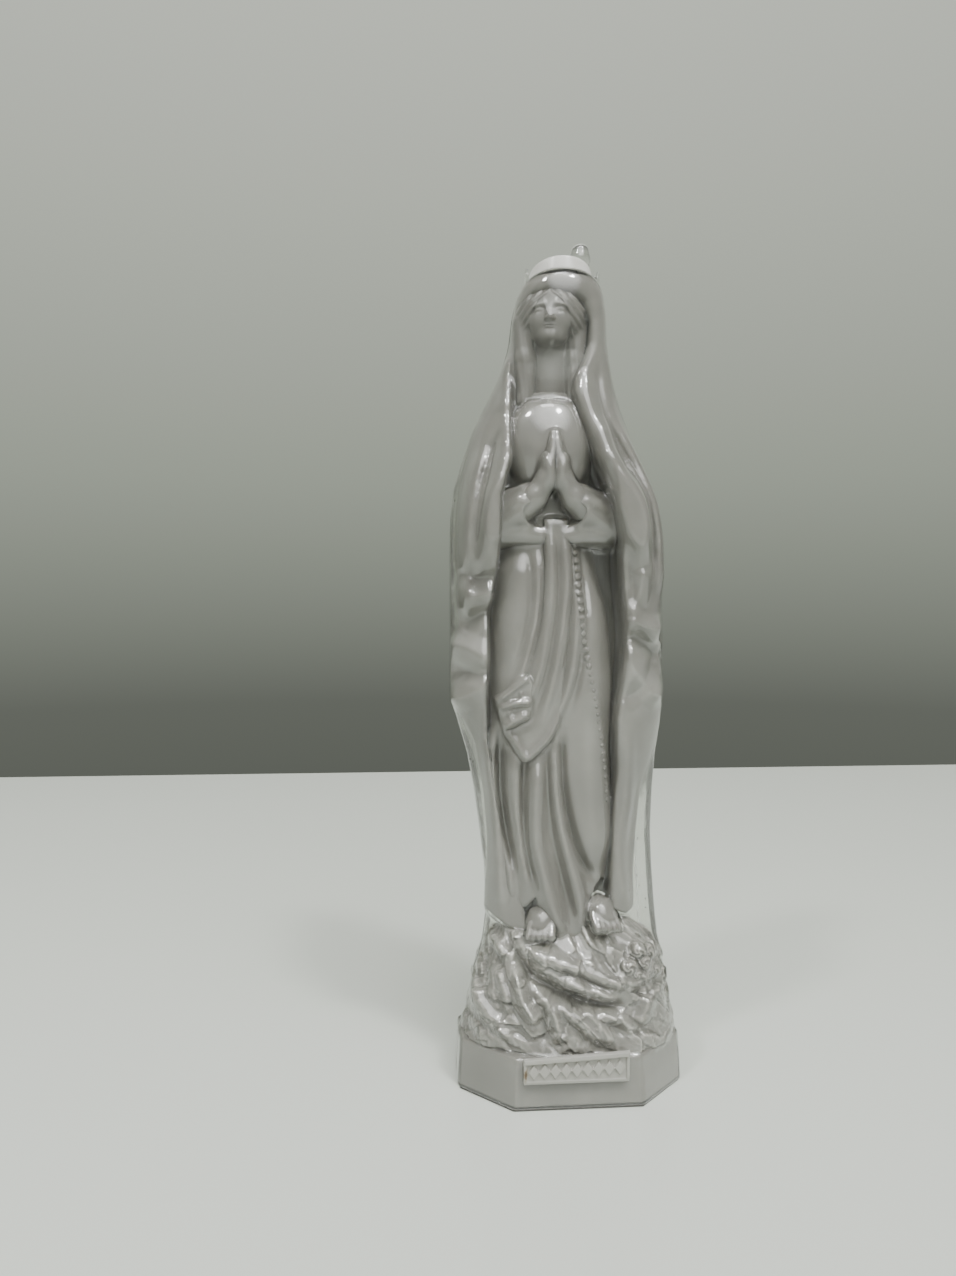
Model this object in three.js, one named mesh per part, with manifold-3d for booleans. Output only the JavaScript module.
// A small standing Madonna in the Lourdes manner: a pearl-white figure on rocks and an octagonal
// plinth, closed inside a clear two-half shell, with a crown that lifts off the mouth on its head.
// Millimetres, +Z up, the figure faces -Y. The origin is on the table, under the middle of the box.
// +X is the viewer's right, which is the figure's own left.
import * as THREE from 'three';
import { mergeVertices } from 'three/addons/utils/BufferGeometryUtils.js';
import Module from 'manifold-3d';

const wasm = await Module();
wasm.setup();

// ---------------------------------------------------------------- driving dimensions
const GAP = 0.3; // air between two pieces that touch on the real statue
const WALL = 0.9; // wall of the clear shell
const SEAM_HALF = 0.15; // half of the gap between the two shell halves

const PLINTH_X = 0.55; // the plinth stands a little to the viewer's right of the figure
const PLINTH_Y = 0.45;
const PLINTH_HALF_WIDTH = 17.6;
const PLINTH_HALF_DEPTH = 12;
const PLINTH_CUT = 7.6; // each leg of the cut corners
const PLINTH_TOP = 7.4;
const PLATE_THICKNESS = 1.2;

const PLAQUE_WIDTH = 15.6;
const PLAQUE_HEIGHT = 4.6;
const PLAQUE_THICKNESS = 0.6;
const PLAQUE_MIDDLE_Z = 5.8;

const ROCK_TOP = 23.5;
const FIGURE_X = -2.8; // middle of the chest and hands, which are turned to the viewer's left
const HEM_Z = 25.6;
const WAIST_Z = 86;
const NECK_X = -1; // middle of the veil's top and of the crown
const COLLAR_X = -2.6;
const COLLAR_Z = 107.1;
const HEAD_X = -1.7;
const HEAD_Z = 117.4;
const HEAD_RADII = [3.9, 4.3, 4.7];

const MOUTH_RADIUS = 3.9; // the spout that the crown sits on
const SHOULDER_Z = 124.2;
const MOUTH_TOP = 125.9;
const CROWN_RADIUS = 5.2;
const CROWN_BASE = 124.6;
const CROWN_TOP = 127.9;
const KNOB_TOP = 131.4;

const RING_POINTS = 40; // points round a section: 5 on each side of the octagon

// One row per level of the clear shell: height, middle x, half width, depth to the front and to
// the back, and how round the section is, from 0, the octagon, to 1, an oval.
const SHELL_LEVELS = [
  { z: 0, x: PLINTH_X, w: PLINTH_HALF_WIDTH, front: 12, back: 12, round: 0 },
  { z: PLINTH_TOP, x: PLINTH_X, w: 17.2, front: 11.8, back: 11.8, round: 0 },
  { z: 12, x: 1, w: 16.5, front: 11.8, back: 11.2, round: 0.45 },
  { z: 17, x: 1, w: 15.4, front: 11.7, back: 10.6, round: 0.8 },
  { z: 22, x: 1.2, w: 14.3, front: 11.6, back: 10, round: 1 },
  { z: 27, x: 1.2, w: 13.7, front: 11.2, back: 9.4, round: 1 },
  { z: 33, x: 0.9, w: 13.5, front: 10.6, back: 9, round: 1 },
  { z: 39, x: 0.4, w: 13.7, front: 10.2, back: 8.8, round: 1 },
  { z: 46, x: 0, w: 14.4, front: 10.2, back: 8.8, round: 1 },
  { z: 52, x: -0.3, w: 15.3, front: 10.5, back: 9, round: 1 },
  { z: 57.5, x: -0.8, w: 16.3, front: 10.9, back: 9.1, round: 1 },
  { z: 61, x: -1.1, w: 16.9, front: 11.1, back: 9.2, round: 1 },
  { z: 71, x: -1.3, w: 16.9, front: 11.6, back: 9.4, round: 1 },
  { z: 82, x: -1.5, w: 16.7, front: 12.1, back: 9.4, round: 1 },
  { z: 89, x: -1.7, w: 16.4, front: 12.3, back: 9.2, round: 1 },
  { z: 93, x: -1.8, w: 15.6, front: 12.3, back: 9, round: 1 },
  { z: 97.5, x: -2.1, w: 14.1, front: 12, back: 8.8, round: 1 },
  { z: 102, x: -2.2, w: 12.5, front: 10.8, back: 8.4, round: 1 },
  { z: 106, x: -2, w: 10.7, front: 9.2, back: 8, round: 1 },
  { z: 110, x: -1.6, w: 9, front: 8.2, back: 7.8, round: 1 },
  { z: 115.5, x: -1.15, w: 7.5, front: 7.5, back: 7.8, round: 1 },
  { z: 120, x: NECK_X, w: 7.2, front: 7.2, back: 7.5, round: 1 },
  { z: 122.5, x: NECK_X, w: 6.5, front: 6.5, back: 6.7, round: 1 },
  { z: SHOULDER_Z, x: NECK_X, w: 5.3, front: 5.3, back: 5.4, round: 1 },
];

// The gown under the mantle, from the hem over the feet to the base of the neck.
const GOWN_LEVELS = [
  { z: HEM_Z, x: -1.4, w: 7.8, front: 7.2, back: 5.4 },
  { z: 34, x: -1.6, w: 8, front: 6.8, back: 5 },
  { z: 48, x: -2, w: 8.6, front: 6.9, back: 5 },
  { z: 62, x: -2.4, w: 8.8, front: 7, back: 5 },
  { z: 76, x: -2.7, w: 8, front: 6.8, back: 4.8 },
  { z: WAIST_Z, x: FIGURE_X, w: 7, front: 6.4, back: 4.6 },
  { z: 93, x: FIGURE_X, w: 6.6, front: 6.6, back: 4.6 },
  { z: 98, x: FIGURE_X, w: 6.6, front: 6.4, back: 4.6 },
  { z: 102, x: FIGURE_X, w: 5.4, front: 5.6, back: 4.2 },
  { z: 105.8, x: COLLAR_X, w: 3.4, front: 4, back: 3.6 },
];

// The outside of the mantle, which stands inside the clear shell.
const MANTLE_LEVELS = [
  { z: HEM_Z, x: 0.2, w: 11.2, front: 8.4, back: 7.6 },
  { z: 33, x: 0, w: 11, front: 7.8, back: 7.2 },
  { z: 39, x: -0.4, w: 11.4, front: 7.6, back: 7 },
  { z: 47, x: -0.8, w: 12.3, front: 7.6, back: 7.1 },
  { z: 55, x: -1, w: 14, front: 8.2, back: 7.4 },
  { z: 61, x: -1.2, w: 15.5, front: 9, back: 7.6 },
  { z: 71, x: -1.3, w: 15.6, front: 9.6, back: 7.8 },
  { z: 82, x: -1.5, w: 15.4, front: 10.2, back: 7.8 },
  { z: 89, x: -1.7, w: 15, front: 10.1, back: 7.6 },
  { z: 96, x: -2, w: 13.2, front: 9.2, back: 7.3 },
  { z: 102, x: -2.1, w: 11, front: 7.9, back: 6.9 },
  { z: 106, x: -1.9, w: 9.2, front: 7.1, back: 6.6 },
  { z: 110, x: -1.6, w: 7.5, front: 6.6, back: 6.3 },
  { z: 115.5, x: -1.15, w: 6.1, front: 6, back: 6.3 },
  { z: 119.5, x: NECK_X, w: 5.6, front: 5.6, back: 6 },
  { z: 121.6, x: NECK_X, w: 4.8, front: 4.8, back: 5 },
  { z: 123, x: NECK_X, w: 2.6, front: 2.6, back: 2.6 },
];

// The rock under the feet.
const ROCK_LEVELS = [
  { z: PLINTH_TOP + GAP, x: PLINTH_X, w: 15.4, front: 10.3, back: 9.9, round: 0.2 },
  { z: 12, x: 1, w: 14.9, front: 10.3, back: 9.5, round: 0.6 },
  { z: 17, x: 1, w: 13.7, front: 10.1, back: 8.8, round: 1 },
  { z: ROCK_TOP, x: 1.2, w: 12, front: 9.2, back: 7.8, round: 1 },
];

// ---------------------------------------------------------------- materials
const PEARL = { color: 0xd9d6d3, roughness: 0.35, metalness: 0 };
const CLEAR = { color: 0xe9f2ee, roughness: 0.05, metalness: 0, transparent: true, opacity: 0.3 };
const WHITE = { color: 0xf4f3f0, roughness: 0.3, metalness: 0 };

// ---------------------------------------------------------------- solids
function solidOf(geometry) {
  const bare = geometry.index ? geometry : geometry.clone();
  bare.deleteAttribute('normal');
  bare.deleteAttribute('uv');
  const merged = mergeVertices(bare, 1e-4);
  return new wasm.Manifold(new wasm.Mesh({
    numProp: 3,
    vertProperties: new Float32Array(merged.attributes.position.array),
    triVerts: new Uint32Array(merged.index.array),
  }));
}

function geometryOf(solid) {
  const mesh = solid.getMesh();
  const geometry = new THREE.BufferGeometry();
  geometry.setAttribute('position', new THREE.BufferAttribute(mesh.vertProperties, 3));
  geometry.setIndex(new THREE.BufferAttribute(mesh.triVerts, 1));
  geometry.computeVertexNormals();
  return geometry;
}

function placed(geometry, x, y, z, turn = [0, 0, 0]) {
  const matrix = new THREE.Matrix4().makeRotationFromEuler(new THREE.Euler(...turn));
  matrix.setPosition(x, y, z);
  return geometry.applyMatrix4(matrix);
}

function box(x0, x1, y0, y1, z0, z1) {
  const geometry = new THREE.BoxGeometry(x1 - x0, y1 - y0, z1 - z0);
  return solidOf(placed(geometry, (x0 + x1) / 2, (y0 + y1) / 2, (z0 + z1) / 2));
}

function ball(x, y, z, rx, ry, rz, turn = [0, 0, 0]) {
  const geometry = new THREE.SphereGeometry(1, 12, 8).scale(rx, ry, rz);
  return solidOf(placed(geometry, x, y, z, turn));
}

// A round bar from one point to another, with its own radius at each end.
function bar(from, to, radiusFrom, radiusTo, sides = 12) {
  const start = new THREE.Vector3(...from);
  const axis = new THREE.Vector3(...to).sub(start);
  const geometry = new THREE.CylinderGeometry(radiusTo, radiusFrom, axis.length(), sides);
  geometry.applyQuaternion(new THREE.Quaternion().setFromUnitVectors(
    new THREE.Vector3(0, 1, 0), axis.clone().normalize()));
  const middle = start.addScaledVector(axis, 0.5);
  return solidOf(geometry.translate(middle.x, middle.y, middle.z));
}

// A flat outline drawn as seen from the front, as a plate between two depths.
function frontPlate(points, yFront, yBack) {
  const shape = new THREE.Shape(points.map(([x, z]) => new THREE.Vector2(x, z)));
  const geometry = new THREE.ExtrudeGeometry(shape, { depth: yBack - yFront, bevelEnabled: false });
  geometry.rotateX(Math.PI / 2);
  return solidOf(geometry.translate(0, yBack, 0));
}

// The octagon's points, RING_POINTS of them, for a section of this half width and half depth.
function octagonPoints(halfWidth, front, back) {
  const cut = PLINTH_CUT - (PLINTH_HALF_WIDTH - halfWidth) * (2 - Math.SQRT2);
  const corners = [
    [halfWidth, -front + cut], [halfWidth, back - cut], [halfWidth - cut, back], [cut - halfWidth, back],
    [-halfWidth, back - cut], [-halfWidth, -front + cut], [cut - halfWidth, -front], [halfWidth - cut, -front],
  ];
  const perSide = RING_POINTS / corners.length;
  const points = [];
  corners.forEach((corner, side) => {
    const next = corners[(side + 1) % corners.length];
    for (let step = 0; step < perSide; step += 1) {
      const t = step / perSide;
      points.push([corner[0] + (next[0] - corner[0]) * t, corner[1] + (next[1] - corner[1]) * t]);
    }
  });
  return points;
}

// One closed ring of points at a level; inset moves it inwards all round.
function ring(level, inset = 0) {
  const { z, x, w, front, back, round = 1 } = level;
  const squared = 0.88; // the ovals are a little squarer than an ellipse
  return octagonPoints(w - inset, front - inset, back - inset).map(([px, py]) => {
    const angle = Math.atan2(py, px * (front + back) / (2 * w));
    const depth = py < 0 ? front - inset : back - inset;
    const ox = (w - inset) * Math.sign(Math.cos(angle)) * Math.abs(Math.cos(angle)) ** squared;
    const oy = depth * Math.sign(Math.sin(angle)) * Math.abs(Math.sin(angle)) ** squared;
    return new THREE.Vector3(
      x + px + (ox - px) * round, PLINTH_Y + py + (oy - py) * round, z);
  });
}

// A closed body through the levels, with flat ends.
function loft(levels, inset = 0) {
  const rings = levels.map((level) => ring(level, inset));
  const positions = rings.flat().flatMap((p) => [p.x, p.y, p.z]);
  const index = [];
  for (let row = 0; row + 1 < rings.length; row += 1) {
    for (let k = 0; k < RING_POINTS; k += 1) {
      const a = row * RING_POINTS + k;
      const b = row * RING_POINTS + (k + 1) % RING_POINTS;
      index.push(a, b, b + RING_POINTS, a, b + RING_POINTS, a + RING_POINTS);
    }
  }
  [[0, 1], [rings.length - 1, -1]].forEach(([row, side]) => {
    const middle = new THREE.Vector3();
    rings[row].forEach((p) => middle.addScaledVector(p, 1 / RING_POINTS));
    const centre = positions.length / 3;
    positions.push(middle.x, middle.y, middle.z);
    for (let k = 0; k < RING_POINTS; k += 1) {
      const a = row * RING_POINTS + k;
      const b = row * RING_POINTS + (k + 1) % RING_POINTS;
      index.push(...(side > 0 ? [centre, b, a] : [centre, a, b]));
    }
  });
  const geometry = new THREE.BufferGeometry();
  geometry.setAttribute('position', new THREE.Float32BufferAttribute(positions, 3));
  geometry.setIndex(index);
  return solidOf(geometry);
}

// The same levels, moved outwards, for cutting a neighbour clear of them.
const grown = (levels) => levels.map((level, i) => ({
  ...level, z: level.z + (i === 0 ? -1 : 0) + (i === levels.length - 1 ? GAP : 0),
}));

// ---------------------------------------------------------------- the clear shell
const FAR = 40;

function shellBody() {
  const outside = loft(SHELL_LEVELS);
  const roof = { ...SHELL_LEVELS.at(-1), z: SHOULDER_Z - WALL };
  const inside = loft([{ ...SHELL_LEVELS[0], z: -1 }, ...SHELL_LEVELS.slice(1, -1), roof], WALL);
  const spout = bar([NECK_X, PLINTH_Y, SHOULDER_Z - WALL / 2], [NECK_X, PLINTH_Y, MOUTH_TOP],
    MOUTH_RADIUS, MOUTH_RADIUS, 32);
  const bore = bar([NECK_X, PLINTH_Y, SHOULDER_Z - 3], [NECK_X, PLINTH_Y, MOUTH_TOP + 1],
    MOUTH_RADIUS - WALL, MOUTH_RADIUS - WALL, 32);
  return outside.subtract(inside).add(spout).subtract(bore);
}

const shell = shellBody();
const frontShell = shell.intersect(box(-FAR, FAR, -FAR, PLINTH_Y - SEAM_HALF, -1, 140));
const backShell = shell.intersect(box(-FAR, FAR, PLINTH_Y + SEAM_HALF, FAR, -1, 140));

// ---------------------------------------------------------------- base, plinth and plaque
function slab(z0, z1, inset) {
  const foot = { ...SHELL_LEVELS[0], z: z0 };
  const head = { ...SHELL_LEVELS[0], z: z1 };
  return loft([foot, head], inset);
}

const basePlate = slab(0, PLATE_THICKNESS, WALL + GAP + 0.1);
const plinth = slab(PLATE_THICKNESS + GAP, PLINTH_TOP, WALL + GAP + 0.5);

function plaqueBody() {
  const frontFace = PLINTH_Y - PLINTH_HALF_DEPTH - GAP;
  const left = PLINTH_X - PLAQUE_WIDTH / 2;
  const low = PLAQUE_MIDDLE_Z - PLAQUE_HEIGHT / 2;
  const plate = box(left, left + PLAQUE_WIDTH, frontFace - PLAQUE_THICKNESS, frontFace, low, low + PLAQUE_HEIGHT);
  const rim = 0.5;
  const field = box(left + rim, left + PLAQUE_WIDTH - rim, frontFace - PLAQUE_THICKNESS - 1,
    frontFace - PLAQUE_THICKNESS + 0.25, low + rim, low + PLAQUE_HEIGHT - rim);
  return plate.subtract(field);
}

// ---------------------------------------------------------------- the rock and what lies on it
const rock = loft(ROCK_LEVELS);

function roseAt(x, y, z, size) {
  return ball(x, y, z, size, size, size * 0.8);
}

const roseCluster = roseAt(8.4, -6.2, ROCK_TOP + 0.8, 1.4).add(roseAt(10.2, -4.6, ROCK_TOP + 0.8, 1.3))
  .subtract(box(-FAR, FAR, -FAR, FAR, 0, ROCK_TOP + GAP));

function footBody(x, y, z, turn) {
  const sole = ball(x, y, z, 2, 3.5, 1.2, [0.12, 0, turn]);
  const instep = ball(x - Math.sin(turn) * 1.5, y + 1.6, z + 0.6, 1.6, 2.6, 1.4, [0.3, 0, turn]);
  return sole.add(instep).subtract(box(-FAR, FAR, -FAR, FAR, 0, ROCK_TOP + GAP))
    .subtract(box(-FAR, FAR, -FAR, FAR, HEM_Z - GAP, 60));
}

// ---------------------------------------------------------------- the figure
const gown = loft(GOWN_LEVELS);
const gownRoom = loft(grown(GOWN_LEVELS), -GAP);

function headBody(grow) {
  const skull = ball(HEAD_X, PLINTH_Y - 0.8, HEAD_Z, ...HEAD_RADII.map((r) => r + grow));
  const chin = ball(HEAD_X - 0.4, PLINTH_Y - 2.2, HEAD_Z - 3, 2.2 + grow, 2.3 + grow, 1.9 + grow);
  const neck = bar([COLLAR_X, PLINTH_Y, GOWN_LEVELS.at(-1).z + GAP + 0.1 - grow], [HEAD_X, PLINTH_Y - 0.4, HEAD_Z - 3],
    2.6 + grow, 2.3 + grow, 20);
  return skull.add(chin).add(neck);
}

function collarBody() {
  const outer = bar([COLLAR_X, PLINTH_Y, COLLAR_Z - 0.7], [COLLAR_X, PLINTH_Y, COLLAR_Z + 0.7], 3.8, 3.7, 32);
  const inner = bar([COLLAR_X, PLINTH_Y, COLLAR_Z - 2], [COLLAR_X, PLINTH_Y, COLLAR_Z + 2], 3, 3, 32);
  return outer.subtract(inner);
}

// The opening down the mantle's front, from the hem up round the face.
const MANTLE_OPENING = [
  [-10.6, HEM_Z - 2], [8.2, HEM_Z - 2], [8.2, 60], [7.3, 84], [4.6, 94], [3, 101], [2, 106],
  [2.2, 112], [2.2, 117], [1, 120.4], [NECK_X, 121.4], [-3.6, 120.4], [-5.4, 117], [-6.2, 112],
  [-7, 106], [-9, 99], [-11, 91], [-11.8, 80], [-12.6, 62],
];

function mantleBody() {
  const opening = frontPlate(MANTLE_OPENING, -FAR, PLINTH_Y - 1);
  return loft(MANTLE_LEVELS).subtract(gownRoom).subtract(headBody(GAP)).subtract(opening)
    .subtract(bar([COLLAR_X, PLINTH_Y, COLLAR_Z - 1], [COLLAR_X, PLINTH_Y, COLLAR_Z + 1], 4.1, 4.1, 32));
}

// A wide sleeve from the elbow to the wrist; side is -1 on the viewer's left and 1 on the right.
function sleeveBody(side) {
  const elbow = [FIGURE_X + side * 7.4, -6, 88.4];
  const wrist = [FIGURE_X + side * 3, -7.8, 90.6];
  return bar(elbow, wrist, 2.9, 2.2, 16)
    .subtract(bar([wrist[0] + side * 1.6, wrist[1] + 0.6, wrist[2] - 0.8], [FIGURE_X, -9, 92], 1.5, 1.5, 12))
    .subtract(gownRoom).subtract(mantleRoom);
}

function handBody(side) {
  const palm = ball(FIGURE_X + side * 1.2, -8.7, 93.6, 0.95, 1.6, 2.6, [0.08, side * -0.12, 0]);
  const fingers = ball(FIGURE_X + side * 0.85, -8.4, 97.2, 0.65, 1.3, 3.2, [-0.1, side * -0.06, 0]);
  const keep = side > 0
    ? box(FIGURE_X + GAP / 2, FAR, -FAR, FAR, 0, 140)
    : box(-FAR, FIGURE_X - GAP / 2, -FAR, FAR, 0, 140);
  return palm.add(fingers).intersect(keep).subtract(gownRoom);
}

const mantleRoom = mantleBody();

// The sash: a knot below the hands, and a tail that falls to the viewer's left and ends in a fringe.
const SASH_Y = -7.1;
const SASH_THICKNESS = 0.7;
const KNOT = [[-4.8, 85.6], [0.2, 85.6], [0.4, 87.6], [-5, 87.6]];
const TAIL = [[-3.9, 85.2], [-0.3, 85.2], [-0.6, 74], [-1.4, 64], [-3.4, 57.6], [-8.4, 61], [-6.2, 66], [-4.4, 74]];
const FRINGE = [[-8.8, 60.8], [-3.6, 57.1], [-2.6, 55.6], [-6.6, 51.8], [-10, 56.6], [-10.2, 59.6]];

// Beads on a cord down the gown's front, from the hands almost to the feet.
const BEADS = 22;
const BEAD_RADIUS = 0.55;
const CORD_RADIUS = 0.2;
function beadPoint(k) {
  const t = k / (BEADS - 1);
  const z = 84 - 40 * t;
  return [0.4 + 5.2 * t, -7.8 + 0.3 * t, z];
}

function rosaryBody() {
  let beads = null;
  for (let k = 0; k < BEADS; k += 1) {
    const [x, y, z] = beadPoint(k);
    const geometry = new THREE.OctahedronGeometry(BEAD_RADIUS).translate(x, y, z);
    const bead = solidOf(geometry);
    beads = beads ? beads.add(bead) : bead;
    if (k > 0) beads = beads.add(bar(beadPoint(k - 1), [x, y, z], CORD_RADIUS, CORD_RADIUS, 6));
  }
  return beads;
}

// ---------------------------------------------------------------- the crown
function crownCap() {
  const outline = [
    [0, CROWN_TOP], [CROWN_RADIUS - 1.6, CROWN_TOP - 0.2], [CROWN_RADIUS - 0.3, CROWN_TOP - 0.9],
    [CROWN_RADIUS, CROWN_TOP - 1.6], [CROWN_RADIUS, CROWN_BASE], [MOUTH_RADIUS + GAP, CROWN_BASE],
    [MOUTH_RADIUS + GAP, MOUTH_TOP + GAP], [0, MOUTH_TOP + GAP],
  ].map(([r, z]) => new THREE.Vector2(r, z)).reverse();
  const geometry = new THREE.LatheGeometry(outline, 40).rotateX(Math.PI / 2);
  return solidOf(geometry.translate(NECK_X, PLINTH_Y, 0));
}

// What is left of the crown's points: one whole knob and three stubs, on one thin plate.
function crownPoints() {
  const floor = CROWN_TOP + GAP;
  const plate = bar([NECK_X, PLINTH_Y, floor], [NECK_X, PLINTH_Y, floor + 0.5], 3.6, 3.5, 32);
  const knob = bar([1.1, -0.9, floor + 0.2], [1.6, -0.6, KNOB_TOP - 0.9], 1.5, 1.2, 12)
    .add(ball(1.6, -0.6, KNOB_TOP - 0.9, 1.2, 1, 0.9));
  return plate.add(knob).add(ball(-1.2, -2.2, floor + 0.5, 0.7, 0.6, 0.9))
    .add(ball(-3.8, 0.3, floor + 0.4, 0.6, 0.6, 0.8));
}

// ---------------------------------------------------------------- the assembly
const statue = new THREE.Group();

function piece(name, solid, look) {
  const mesh = new THREE.Mesh(geometryOf(solid), new THREE.MeshStandardMaterial(look));
  mesh.name = name;
  statue.add(mesh);
}

piece('base_plate', basePlate, PEARL);
piece('plinth', plinth, PEARL);
piece('plaque', plaqueBody(), WHITE);
piece('front_shell', frontShell, CLEAR);
piece('back_shell', backShell, CLEAR);
piece('rock_mound', rock, PEARL);
piece('rose_cluster', roseCluster, PEARL);
piece('right_foot', footBody(-4.6, -5.9, ROCK_TOP + 0.9, 0.2), PEARL);
piece('left_foot', footBody(4.6, -5.6, ROCK_TOP + 0.9, -0.2), PEARL);
piece('gown', gown, PEARL);
piece('mantle', mantleRoom, PEARL);
piece('collar', collarBody(), PEARL);
piece('head', headBody(0), PEARL);
piece('right_sleeve', sleeveBody(-1), PEARL);
piece('left_sleeve', sleeveBody(1), PEARL);
piece('right_hand', handBody(-1), PEARL);
piece('left_hand', handBody(1), PEARL);
piece('sash', frontPlate(KNOT, SASH_Y - SASH_THICKNESS, SASH_Y), PEARL);
piece('sash_tail', frontPlate(TAIL, SASH_Y - SASH_THICKNESS, SASH_Y), PEARL);
piece('sash_fringe', frontPlate(FRINGE, SASH_Y - SASH_THICKNESS, SASH_Y), PEARL);
piece('rosary', rosaryBody(), PEARL);
piece('crown_cap', crownCap(), WHITE);
piece('crown_points', crownPoints(), CLEAR);

export default statue;
